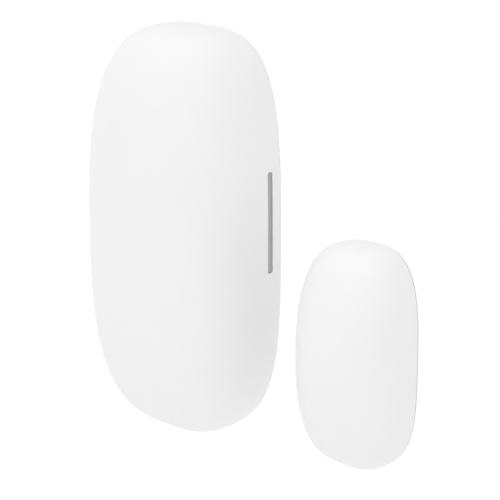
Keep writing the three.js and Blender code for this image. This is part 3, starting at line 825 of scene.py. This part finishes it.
def board_traces():
    """The tracks that show through the green: a bus from the radio, signals at the side, and the supply."""
    traces = []
    bus_x, bus_y, pitch, slant = 9.6, 22.2, 0.42, 1.6
    for step in range(4):
        start = 1.4 + 0.5 * step
        x, y = bus_x + pitch * step, bus_y + pitch * step
        end = (x, -12.3 + step)
        traces.append([(start, CAN.low.y + 0.2), (start, y + slant), (x - slant, y + slant), (x, y), end])
    edge_x = 12.95
    traces.append([(REED_X, REED_UPPER.high.y), (REED_X, 18.9), (11.0, 19.7), (11.0, 22.6)])
    led_x = LED.middle.x
    traces.append([(led_x, LED.high.y), (led_x, 6.2), (edge_x, 6.5), (edge_x, 17), (12, 18), (12, 20.2)])
    traces.append([(led_x, LED.low.y), (led_x, 1.5), (edge_x, 1.2), (edge_x, -12.4)])
    traces.append([(REED_X, REED_LOWER.low.y), (REED_X, -8), (CRYSTAL.middle.x, CRYSTAL.high.y)])
    traces.append([(CAN.middle.x - 2, CAN.high.y), (CAN.middle.x - 2, ANTENNA.middle.y)])
    traces.append([(SWITCH.low.x, SWITCH.middle.y - 1.15), (CAN.high.x, CAN.middle.y - 1.9)])
    supply = [[(CAPACITOR.middle.x, CAPACITOR.low.y), (11.8, -20), (9, -26.5), (4.5, -27.6)]]
    supply.append([(4.5, -27.6), (4.5, -29.2), (2.2, -30.4)])
    supply.append([(-6.5, -27.6), (-6.5, -29.4), (-3.2, -31.2)])
    return [trace(path) for path in traces] + [trace(path, 0.5) for path in supply]


VIAS = [(11.0, 22.6), (12.9, 15.2), (12.95, -12.4), (12.1, -21), (11.4, -23.3), (-5.6, 29.9), (-10.6, 25.8)]
VIAS += [(-5.4, 32.1), (4.6, 32.2), (8.4, -28.6), (-9.8, -27.4), (-13.1, 6), (-13.1, 0), (-13.1, -6)]


def circuit_board():
    prints = [ink_frame(*printed) for printed in PRINTED_ROOM]
    vias = [round_pad(x, y, 0.3) for x, y in VIAS]
    return merged(board_blank(), *board_pads(), *prints, *board_traces(), *vias)


def board_passives():
    """The small resistors and capacitors round the radio and along the board."""
    places = [(-6.3, 25.4), (-6.3, 31.3), (10.5, 25.6), (5.4, 30.7), (5.4, 31.75), (-7.5, 30.5)]
    places += [(12, 20.4), (7.3, 30.8), (12.3, -19.4), (11.3, -21.6), (6.6, -30.6), (-5.4, -31.2)]
    pieces = []
    for i, (x, y) in enumerate(places):
        half = (0.5, 0.25) if i % 2 else (0.25, 0.5)
        low = (x - half[0], y - half[1], BOARD.high.z + 0.03)
        high = (x + half[0], y + half[1], BOARD.high.z + (0.33 if i % 3 else 0.48))
        pieces += chip_part(low, high, 0 if i % 2 else 1, 0.24, CERAMIC if i % 3 == 0 else BLACK_RESIN, 0.03)
    return merged(*pieces)


def chip_part(low, high, axis, cap, material, edge):
    """A surface-mount part: a block with a plated cap over each end."""
    low, high = Vector(low), Vector(high)
    within = Vector((0.03, 0.03, 0.03))
    within[axis] = cap * 0.6
    body = block((low.x + within.x, low.y + within.y, low.z), high - within)
    pieces = [painted(softened(body, edge, 2), material)]
    for end in (0, 1):
        cap_low, cap_high = low.copy(), high.copy()
        if end:
            cap_low[axis] = high[axis] - cap
        else:
            cap_high[axis] = low[axis] + cap
        pieces.append(painted(softened(block(cap_low, cap_high), edge, 2), SOLDER))
    return pieces


def shield_can():
    """A folded tin lid, with its fence line round the foot and vent dimples in its top."""
    can = softened(slab(CAN.low, CAN.high, 0.6, CAN.low.z, CAN.high.z), 0.22, 4, 60)
    fence, line, depth = 0.7, 0.09, 0.06
    groove = slab(*corners_in(CAN, -1), 0.6, 0, line)
    cut(groove, slab(*corners_in(CAN, depth), 0.55, -1, 1))
    cut(can, moved(groove, h=CAN.low.z + fence))
    columns, rows, pitch = 5, 3, 1.45
    for column in range(columns):
        for row in range(rows):
            x = CAN.middle.x + (column - (columns - 1) / 2) * pitch
            y = CAN.middle.y + (row - (rows - 1) / 2) * pitch
            cut(can, prism(circle(x, y, 0.3, 20), CAN.high.z - 0.25, CAN.high.z + 1))
    return painted(can, TIN)


def crystal():
    """A quartz can: a metal lid seam-welded on its ceramic foot."""
    foot_top = CRYSTAL.low.z + 0.3
    foot = softened(block(CRYSTAL.low, (CRYSTAL.high.x, CRYSTAL.high.y, foot_top)), 0.08, 2)
    rim = softened(slab(*corners_in(CRYSTAL, 0.08), 0.3, foot_top, foot_top + 0.16), 0.03, 2, 60)
    lid = softened(slab(*corners_in(CRYSTAL, 0.2), 0.28, foot_top, CRYSTAL.high.z), 0.1, 3, 60)
    return merged(painted(foot, CERAMIC), painted(fused(rim, lid), TIN))


def status_led():
    """A white package with a clear lens over its well, and a plated foot at each end."""
    body_low = (LED.low.x, LED.low.y + 0.1, LED.low.z)
    body_high = (LED.high.x, LED.high.y - 0.1, LED.low.z + 0.35)
    body = painted(softened(block(body_low, body_high), 0.04, 2), WHITE_NYLON)
    lens_low = (LED.low.x + 0.05, LED.low.y + 0.35, body_high[2] - 0.05)
    lens_high = (LED.high.x - 0.05, LED.high.y - 0.35, LED.high.z)
    lens = painted(pillow(lens_low, lens_high, 0.28), LED_RESIN)
    feet = []
    for low_y, high_y in ((LED.low.y, LED.low.y + 0.3), (LED.high.y - 0.3, LED.high.y)):
        foot = block((LED.low.x, low_y, LED.low.z), (LED.high.x, high_y, LED.low.z + 0.3))
        feet.append(painted(softened(foot, 0.03, 2), SOLDER))
    return merged(body, lens, *feet)


def pair_switch_body():
    """A tact switch: a resin base under a folded plate that four heat-staked pins hold down."""
    low, high, middle = SWITCH.low, SWITCH.high, SWITCH.middle
    plate_foot, plate_top = low.z + 0.45, high.z - 0.08
    base = softened(slab(*corners_in(SWITCH, 0.12), 0.3, low.z, plate_foot + 0.1), 0.05, 2, 60)
    plate = softened(slab(*corners_in(SWITCH, 0.05), 0.3, plate_foot, plate_top), 0.14, 3, 60)
    collar, edge = 1.22, 0.06
    profile = [(0, plate_foot), (collar, plate_foot), (collar, high.z - edge)]
    profile += [(collar - edge, high.z), (0, high.z)]
    fused(plate, moved(lathe(profile), middle.x, middle.y))
    well = 0.4
    for made in (base, plate):
        cut(made, prism(circle(middle.x, middle.y, 0.95, 48), low.z + well, high.z + 1))
    pieces = [painted(base, BLACK_RESIN), painted(plate, TIN)]
    pin_place, pin_half, leg_place, leg_thick = 1.3, 0.24, 1.8, 0.16
    for side in (-1, 1):
        for row in (-1, 1):
            x, y = middle.x + side * pin_place, middle.y + row * pin_place
            pin_low = (x - pin_half, y - pin_half, plate_top - 0.1)
            pin = pillow(pin_low, (x + pin_half, y + pin_half, high.z), 0.22, 4)
            pieces.append(painted(pin, BLACK_RESIN))
            edge_x = middle.x + side * leg_place
            leg = block((edge_x - leg_thick, y - 0.4, low.z), (edge_x, y + 0.1, plate_foot + 0.1))
            pieces.append(painted(softened(moved(leg, x=leg_thick if side < 0 else 0), 0.03, 2), TIN))
    return merged(*pieces)


def pair_switch_plunger():
    box = Box("pair_switch_plunger")
    radius, edge = box.size.x / 2, 0.14
    profile = [(0, box.low.z), (radius, box.low.z)]
    profile += [(radius - edge * (1 - c), box.high.z - edge * (1 - s)) for c, s in quarter_turn(5)]
    profile += [(0.35, box.high.z - 0.02), (0, box.high.z - 0.03)]
    return painted(moved(lathe(profile), box.middle.x, box.middle.y), WHITE_NYLON)


def board_screw(node):
    """A pan-head screw with a cross recess and a cut thread."""
    place = SCREWS[node]
    head_radius, head_height, root, crest = 1.7, 1.1, 0.58, 0.78
    pitch, per_turn, segments = 0.5, 10, 40
    tip = -(Box(node).size.z - head_height)
    rings = []
    steps = round(-tip / pitch * per_turn)
    for i in range(steps + 1):
        h = tip * (1 - i / steps)
        taper = min(1.0, 0.45 + (h - tip) / 0.7)
        ring = []
        for k in range(segments):
            phase = (h / pitch + k / segments) % 1
            radius = (root + (crest - root) * max(0.0, 1 - abs(phase - 0.5) * 3.2)) * taper
            angle = 2 * pi * k / segments
            ring.append((radius * cos(angle), radius * sin(angle), h))
        rings.append(ring)
    side, bulge = 0.34, 0.72  # the height of the head's upright side, and how full its crown is
    profile = [(head_radius - 0.08, 0), (head_radius, 0.08), (head_radius, side)]
    for cosine, sine in quarter_turn(8)[1:-1]:
        profile.append((head_radius * cosine**bulge, side + (head_height - side) * sine))
    for radius, h in profile:
        rings.append([(x, y, h) for x, y in circle(0, 0, radius, segments)])
    screw = loft(rings)
    arm, slot = 1.05, 0.26  # half the length and width of the cross recess's arms
    ends = ((0.4, arm * 0.45, slot * 0.8), (head_height + 0.3, arm * 1.15, slot))
    for along_y in (False, True):
        recess = []
        for h, reach, half in ends:
            x, y = (half, reach) if along_y else (reach, half)
            recess.append([(-x, -y, h), (x, -y, h), (x, y, h), (-x, y, h)])
        cut(screw, loft(recess))
    return painted(moved(screw, place.x, place.y, ON_BOARD), STEEL)


# ---- Sensor unit: batteries ----

CELL_LENGTH, NIPPLE_RADIUS, NIPPLE_HEIGHT = 43.3, 1.9, 1.0
PRINT_LINE = (29.4, 30.0)  # where the pale line round a cell's film starts and ends
CELL_SPACING = Box("battery_cell_right").middle.x - Box("battery_cell_left").middle.x
BAY_RADIUS = CELL_RADIUS + 0.2
END_WALL = 1.2
CONTACT_POCKET, CONTACT_HEIGHT, CONTACT_HALF = 0.8, 5.0, 3.7


def battery_holder():
    """A tray for two cells side by side, with open sides, a finger gap across it and contact pockets."""
    x, y = HOLDER.middle.x, HOLDER.middle.y
    reach = HOLDER.size.y / 2 - END_WALL
    side_height, finger_gap, gap_height, slot_half = 4.6, 16, 2.3, 1.2
    wide, above = HOLDER.size.x, HOLDER.high.z + 1
    bays = [x + side * CELL_SPACING / 2 for side in (-1, 1)]
    tray = slab(HOLDER.low, HOLDER.high, 3, HOLDER.low.z, HOLDER.high.z, 12)
    for bay_x in bays:
        cut(tray, prism_along_y(circle(bay_x, CELL_AXIS, BAY_RADIUS, 96), y - reach, y + reach))
    for half, height in ((reach, side_height), (finger_gap / 2, gap_height)):
        cut(tray, block((x - wide, y - half, HOLDER.low.z + height), (x + wide, y + half, above)))
    half = CELL_SPACING / 2 + CONTACT_HALF + 2 * GAP
    pocket_floor = CELL_AXIS - CONTACT_HEIGHT / 2 - GAP
    for low_y, high_y in ((y - reach, y - reach + CONTACT_POCKET), (y + reach - CONTACT_POCKET, y + reach)):
        cut(tray, block((x - half, low_y, pocket_floor), (x + half, high_y, above)))
    for bay_x in bays:
        low = (bay_x - slot_half, y - reach, HOLDER.low.z - 1)
        cut(tray, block(low, (bay_x + slot_half, y - reach + CONTACT_POCKET, pocket_floor + 1)))
    return painted(softened(tray, 0.1, 2, 40), HOLDER_BLACK)


def in_bay(made, box, x, flipped):
    """Lays a piece along a cell's bay, from one end or turned round from the other."""
    if flipped:
        turned(made, "Z", 180)
    return moved(made, x, box.high.y if flipped else box.low.y, CELL_AXIS)


def battery_cell(node, flipped):
    """A cell: a steel can with its nipple, in a printed film that curls over both shoulders."""
    box = Box(node)
    r, film, length = CELL_RADIUS, 0.08, CELL_LENGTH
    shoulder = [(r - 0.62, 0.07), (r - 0.35, 0.0), (r - 0.12, 0.08), (r, 0.36)]
    outside = shoulder + [(r, h) for h in PRINT_LINE]
    outside += [(radius, length - h) for radius, h in reversed(shoulder)]
    inside = [(radius - film, h + (film if h < 1 else -film)) for radius, h in reversed(outside)]
    sleeve = lathe(outside + inside, 96)
    painted(sleeve, SLEEVE, SLEEVE_LINE, SLEEVE_BAND, choose=printed_on)
    can = [(0, 0.25), (3.5, 0.25), (3.65, 0.12), (3.9, 0.1), (4.8, 0.16), (5.1, 0.45), (5.1, length - 0.45)]
    top = ((4.8, -0.16), (3.4, -0.14), (3.1, -0.3), (2.3, -0.3), (2.05, -0.16), (NIPPLE_RADIUS, 0.1))
    top += ((NIPPLE_RADIUS, NIPPLE_HEIGHT - 0.25), (1.8, 0.9), (1.55, NIPPLE_HEIGHT), (0, NIPPLE_HEIGHT))
    can += [(radius, length + h) for radius, h in top]
    cell = turned(merged(sleeve, painted(lathe(can, 96), NICKEL)), "X", -90)
    return in_bay(cell, box, box.middle.x, flipped)


def printed_on(centre):
    """Which print a face of a cell's film has, by how far up the cell it is."""
    return 0 if centre.z < PRINT_LINE[0] else 1 if centre.z < PRINT_LINE[1] else 2


def cell_spring(node, flipped):
    """A cone spring, wide where it sits on its contact."""
    box = Box(node)
    wire, wide, narrow, turns = 0.3, 2.1, 1.3, 4
    path = []
    for share in [i / (turns * 30) for i in range(turns * 30 + 1)]:
        radius = wide + (narrow - wide) * share
        angle = 2 * pi * turns * share
        along = wire + (box.size.y - 2 * wire) * share
        path.append((radius * cos(angle), along, radius * sin(angle)))
    x = Box("battery_cell_right" if flipped else "battery_cell_left").middle.x
    return painted(in_bay(tube(path, wire, 12), box, x, flipped), NICKEL)


def contact(node, tail_x=None):
    """A stamped contact plate with a pressed ring where the cell or spring bears."""
    box = Box(node)
    low_h, high_h = CELL_AXIS - CONTACT_HEIGHT / 2, CELL_AXIS + CONTACT_HEIGHT / 2
    outline = rounded_rectangle((box.low.x, low_h), (box.high.x, high_h), 1.2)
    plate = prism_along_y(outline, box.low.y, box.high.y)
    centres = [HOLDER.middle.x + side * CELL_SPACING / 2 for side in (-1, 1)]
    if tail_x is not None:
        centres = [tail_x]
        left, right, top = tail_x - 1, tail_x + 1, low_h + 0.5
        tail = [(left, box.low.z), (right, box.low.z), (right, top), (left, top)]
        fused(plate, prism_along_y(tail, box.low.y, box.high.y))
    softened(plate, 0.05, 2, 50)
    front = box.high.y if box.middle.y < HOLDER.middle.y else box.low.y
    for x in centres:
        groove = prism_along_y(circle(x, CELL_AXIS, 1.55, 48), front - 0.08, front + 0.08)
        cut(groove, prism_along_y(circle(x, CELL_AXIS, 1.2, 48), front - 1, front + 1))
        cut(plate, groove)
    return painted(plate, NICKEL)


# ---- Sensor unit: reed switch ----

GLASS_BOX = Box("reed_glass")
REED_AXIS = GLASS_BOX.middle
LEAD_RADIUS = 0.25


def reed_glass():
    """A glass tube melted shut round a lead at each end."""
    radius, half = GLASS_BOX.size.x / 2, GLASS_BOX.size.y / 2
    bore, wall = LEAD_RADIUS + 0.03, 0.25
    outside, inside = [], []
    for cosine, sine in quarter_turn(8):
        outside.append((bore + (radius - bore) * sine**0.9, half - 1.3 * (1 - cosine)))
        inside.append((bore + (radius - wall - bore) * cosine, half - 1.2 - (1 - sine)))
    profile = [(r, -h) for r, h in outside] + [(r, h) for r, h in reversed(outside)]
    profile += [(r, h) for r, h in reversed(inside)] + [(r, -h) for r, h in inside]
    return painted(moved(turned(lathe(profile), "X", -90), *REED_AXIS), GLASS)


def reed_lead(end):
    """A lead comes straight out of the glass and bends down to the board."""
    half = GLASS_BOX.size.y / 2
    foot = ON_BOARD + LEAD_RADIUS - REED_AXIS.z
    sealed, straight, bend, flat = 1.3, 0.5, 1.7, 1.2  # lengths in the glass, out of it, bent and on the pad
    path = [(0, half - sealed, 0), (0, half - 0.6, 0), (0, half + straight, 0)]
    for share in [i / 12 for i in range(1, 13)]:
        path.append((0, half + straight + bend * share, foot * (1 - cos(pi * share)) / 2))
    path.append((0, half + straight + bend + flat, foot))
    lead = tube(path, LEAD_RADIUS, 20)
    if end < 0:
        turned(lead, "Z", 180)
    return painted(moved(lead, *REED_AXIS), NICKEL)


def reed_blade(node, flipped):
    """The lead's flattened end, which narrows to the round wire at its root."""
    box = Box(node)
    half_width, half_thick = box.size.x / 2, box.size.z / 2
    offset = abs(box.middle.z - REED_AXIS.z)
    tip = -min(abs(box.low.y - REED_AXIS.y), abs(box.high.y - REED_AXIS.y))
    root = max(abs(box.low.y - REED_AXIS.y), abs(box.high.y - REED_AXIS.y))
    rings = []
    narrowing = ((root - 1.5, 0), (root - 1, 0.25), (root - 0.5, 0.75), (root, 1))
    for y, blend in ((tip, 0), (tip + 0.08, 0)) + narrowing:
        inset = 0.05 if y == tip else 0
        w = half_width - inset + (LEAD_RADIUS - half_width) * blend
        t = half_thick - inset / 2 + (LEAD_RADIUS - half_thick) * blend
        corner = min(w, t) * (0.5 + 0.499 * blend)
        section = rounded_rectangle((-w, -t), (w, t), corner, 5)
        rings.append([(x, y, h + offset * (1 - blend)) for x, h in section])
    blade = loft(rings)
    if flipped:
        turned(blade, "X", 180)
    return painted(moved(blade, *REED_AXIS), NICKEL)


# ---- Magnet unit ----

MAGNET_BAR = Box("bar_magnet")
CRADLE_RIB, CRADLE_HEIGHT, CRADLE_PLACES, CRADLE_HALF = 0.9, 3.4, (-7, 7), 2.5


def magnet_cover():
    foot = MAGNET_BAR.high.z + FIT
    return painted(cover_shell(MAGNET, MAGNET_BAR.middle.x, 3, (-8, 7), foot), WHITE_SHELL)


def magnet_back_plate():
    """The magnet's back plate, with a cradle of ribs round the bar."""
    plate = back_plate(MAGNET)
    foot, top = BACK + FLOOR / 2, BACK + FLOOR + CRADLE_HEIGHT
    low, high, middle = MAGNET_BAR.low, MAGNET_BAR.high, MAGNET_BAR.middle
    for end in (-1, 1):
        y = (high.y + GAP if end > 0 else low.y - GAP - CRADLE_RIB)
        rib = block((low.x - GAP, y, foot), (high.x + GAP, y + CRADLE_RIB, top))
        fused(plate, softened(rib, 0.12, 2))
        x = (high.x + GAP if end > 0 else low.x - GAP - CRADLE_RIB)
        for place in CRADLE_PLACES:
            y = middle.y + place
            rib = block((x, y - CRADLE_HALF, foot), (x + CRADLE_RIB, y + CRADLE_HALF, top))
            fused(plate, softened(rib, 0.12, 2))
    return painted(plate, WHITE_PLATE)


def bar_magnet():
    bar = slab(MAGNET_BAR.low, MAGNET_BAR.high, 0.3, MAGNET_BAR.low.z, MAGNET_BAR.high.z)
    return painted(softened(bar, 0.28, 4, 60), MAGNET_NICKEL)


# ---- Assembly ----

for build in (front_cover, sensor_back_plate, circuit_board, battery_holder, magnet_cover, magnet_back_plate):
    instead(build(), build.__name__, smooth=30)
for build in (light_bar, status_led, pair_switch_body, pair_switch_plunger, reed_glass, bar_magnet):
    instead(build(), build.__name__)
stand(board_passives(), "board_passives", "sensor_base")
for screw in SCREWS:
    instead(board_screw(screw), screw)
for at_right, side_name, height_name in ((False, "left", "lower"), (True, "right", "upper")):
    instead(battery_cell("battery_cell_" + side_name, at_right), "battery_cell_" + side_name)
    instead(cell_spring("cell_spring_" + height_name, at_right), "cell_spring_" + height_name)
for node in ("negative_contact", "positive_contact"):
    instead(contact(node, Box(node).middle.x), node)
instead(contact("bridge_contact"), "bridge_contact")
instead(shield_can(), "radio_shield_can")
instead(crystal(), "timing_crystal")
instead(merged(*chip_part(ANTENNA.low, ANTENNA.high, 0, 0.5, CERAMIC, 0.06)), "chip_antenna")
instead(merged(*chip_part(CAPACITOR.low, CAPACITOR.high, 1, 0.6, CAPACITOR_BODY, 0.1)), "reservoir_capacitor")
for end, height_name in ((1, "upper"), (-1, "lower")):
    instead(reed_lead(end), "reed_lead_" + height_name)
for flipped, kind in ((False, "moving"), (True, "fixed")):
    instead(reed_blade("reed_blade_" + kind, flipped), "reed_blade_" + kind)
for unit in (SENSOR, MAGNET):
    mounting_tape(unit)


# ---- Stage ----

SKY_BASE, HORIZON = 0.823, 1.05  # brightness, where the lit floor's is about HORIZON
HORIZON_BAND = 0.22  # the sine of the elevation below which the sky fades towards the horizon's brightness
SKY_LOBES = (  # azimuth and elevation in degrees, tightness, strength
    (0, 60, 3, 0.97),
    (0, 25, 3, -0.29),
)


def stage_floor():
    nodes = Nodes("stage")
    nodes.colour(nodes.noise(400), (0.93, 0.93, 0.93), (0.95, 0.95, 0.95))
    nodes.set(Roughness=0.9)
    half, height = 12, -0.5
    corners = [(-half, -half, height), (half, -half, height), (half, half, height), (-half, half, height)]
    floor = mesh_object("stage_floor", corners, [(0, 1, 2, 3)])
    floor.data.materials.append(nodes.material)


def sky_lobe(sky, direction, below, azimuth, elevation, tightness, strength):
    """Adds a round patch of light, or of shade, to the brightness so far."""
    a, e = radians(azimuth), radians(elevation)
    facing = sky.add("VectorMath")
    facing.operation = "DOT_PRODUCT"
    facing.inputs[1].default_value = (sin(a) * cos(e), -cos(a) * cos(e), sin(e))
    sky.link(direction, facing.inputs[0])
    lobe = sky.maths("POWER", sky.maths("MAXIMUM", facing.outputs["Value"], 0), tightness)
    return sky.maths("MULTIPLY_ADD", lobe, strength, below)


def horizon(sky, direction, above):
    """Fades the sky into the floor's brightness at the horizon, so that the floor has no visible end."""
    height = sky.add("SeparateXYZ")
    sky.link(direction, height.inputs[0])
    edges = {"From Min": 0, "From Max": HORIZON_BAND, "To Min": HORIZON}
    brightness = sky.add("MapRange", **edges)
    brightness.interpolation_type = "SMOOTHSTEP"
    sky.link(above, brightness.inputs["To Max"])
    sky.link(height.outputs["Z"], brightness.inputs["Value"])
    return brightness.outputs[0]


def studio_sky():
    """An even white surround, with a broad softbox above the front and a dark card below it."""
    world = bpy.data.worlds.new("studio")
    bpy.context.scene.world = world
    sky = Tree(world)
    direction = sky.add("TexCoord").outputs["Generated"]
    base = sky.add("Value")
    base.outputs[0].default_value = SKY_BASE
    total = base.outputs[0]
    for lobe in SKY_LOBES:
        total = sky_lobe(sky, direction, total, *lobe)
    background = sky.tree.nodes["Background"]
    background.inputs["Color"].default_value = (1, 1, 1, 1)
    sky.link(horizon(sky, direction, total), background.inputs["Strength"])


def camera():
    """The photograph's angle: from the front right, looking a little down, with a long lens."""
    turn, tilt = radians(45), radians(16.6)
    distance, lens = 0.388, 153.4
    target = Vector((0.00845, -BACK * MM, -0.00378))
    back = Vector((sin(turn) * cos(tilt), -cos(turn) * cos(tilt), sin(tilt)))
    data = bpy.data.cameras.new("camera")
    data.lens = lens
    data.clip_start = 0.01
    made = bpy.data.objects.new("camera", data)
    bpy.context.scene.collection.objects.link(made)
    made.location = target + back * distance
    made.rotation_euler = back.to_track_quat("Z", "Y").to_euler()
    bpy.context.scene.camera = made


stage_floor()
studio_sky()
camera()
bpy.context.scene.view_settings.view_transform = "Standard"
